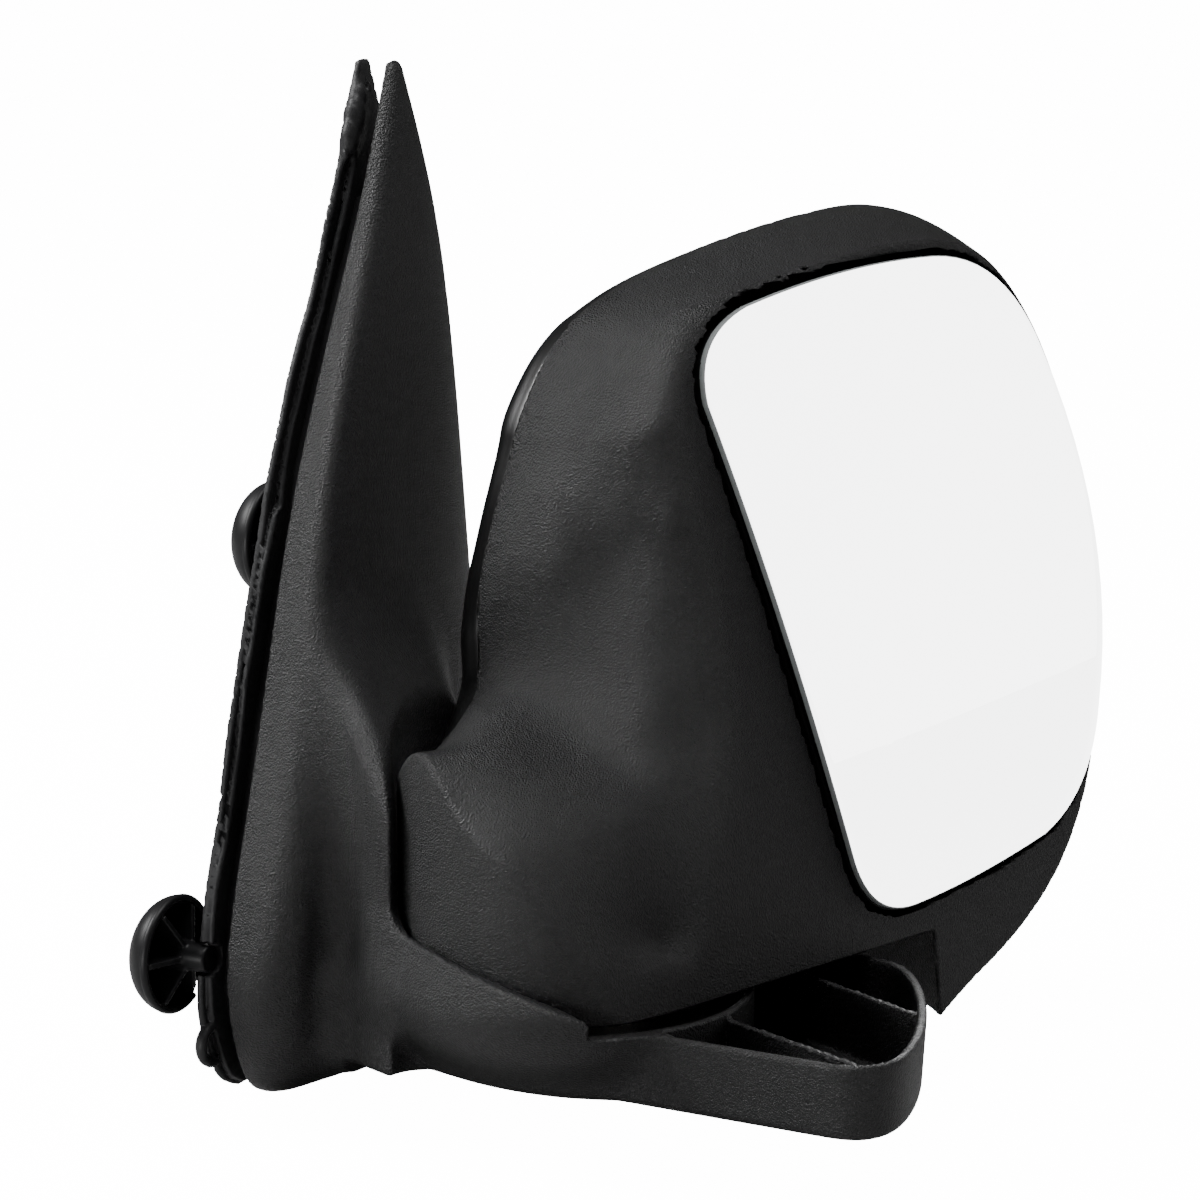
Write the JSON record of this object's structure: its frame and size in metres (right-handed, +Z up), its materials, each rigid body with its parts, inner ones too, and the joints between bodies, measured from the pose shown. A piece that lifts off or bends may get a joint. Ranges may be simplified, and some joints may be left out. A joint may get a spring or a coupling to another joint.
{
  "type": "car side mirror",
  "caption": "Manual folding door mirror with a grained sail foot, hollow arm, spring detent pivot and adjustable convex glass.",
  "frame": {"origin": "axis of the lower locating plug at the door face of the gasket", "axes": "+X outboard from the door, +Y towards the front of the vehicle, +Z up; the head is drawn folded forward"},
  "size_m": [0.2524, 0.3137, 0.327],
  "materials": {
    "grained_black": "fine leather-grained black plastic",
    "satin_black": "smooth satin black plastic",
    "frame_black": "glass-filled black nylon, matt",
    "foam_black": "closed-cell foam rubber with a glossy skin",
    "plug_black": "moulded black nylon, semi-matt",
    "plate_metal": "die-cast plate with a black coating",
    "zinc_steel": "zinc-plated steel",
    "spring_steel": "oiled spring steel",
    "mirror_face": "silvered convex glass"
  },
  "bodies": {
    "foot": {"foot_cover": "grained_black", "base_plate": "plate_metal", "door_gasket": "foam_black", "plate_screws": "zinc_steel", "mounting_studs": "zinc_steel", "lower_locating_plug": "plug_black", "upper_locating_plug": "plug_black", "pivot_post": "zinc_steel", "post_screws": "zinc_steel", "fixed_detent_ring": "zinc_steel", "spring_retainer": "zinc_steel", "pivot_spring": "spring_steel"},
    "lift": {"spring_seat": "zinc_steel"},
    "head": {"head_frame": "frame_black", "head_bezel": "grained_black", "head_back_shell": "satin_black", "moving_detent_ring": "zinc_steel", "bezel_screws": "zinc_steel", "shell_screws": "zinc_steel", "frame_ball_stud": "zinc_steel"},
    "gimbal": {"gimbal_ring": "plug_black"},
    "glass": {"glass_holder": "satin_black", "glass_pad": "foam_black", "mirror_glass": "mirror_face"}
  },
  "joints": [
    {"name": "detent_lift", "type": "slide", "parent": "foot", "child": "lift", "axis": [0, 0, 1], "range_m": [-0.0015, 0], "deforming": ["pivot_spring"]},
    {"name": "fold", "type": "hinge", "parent": "lift", "child": "head", "pos_m": [0.105, 0.055, 0], "axis": [0, 0, 1], "range_deg": [-75, 0]},
    {"name": "glass_pan", "type": "hinge", "parent": "head", "child": "gimbal", "pos_m": [0.15409, 0.18679, 0.10493], "axis": [-0.1843, 0.0494, 0.9816], "range_deg": [-8, 8]},
    {"name": "glass_tilt", "type": "hinge", "parent": "gimbal", "child": "glass", "pos_m": [0.15409, 0.18679, 0.10493], "axis": [0.2588, 0.9659, 0], "range_deg": [-8, 8]}
  ]
}
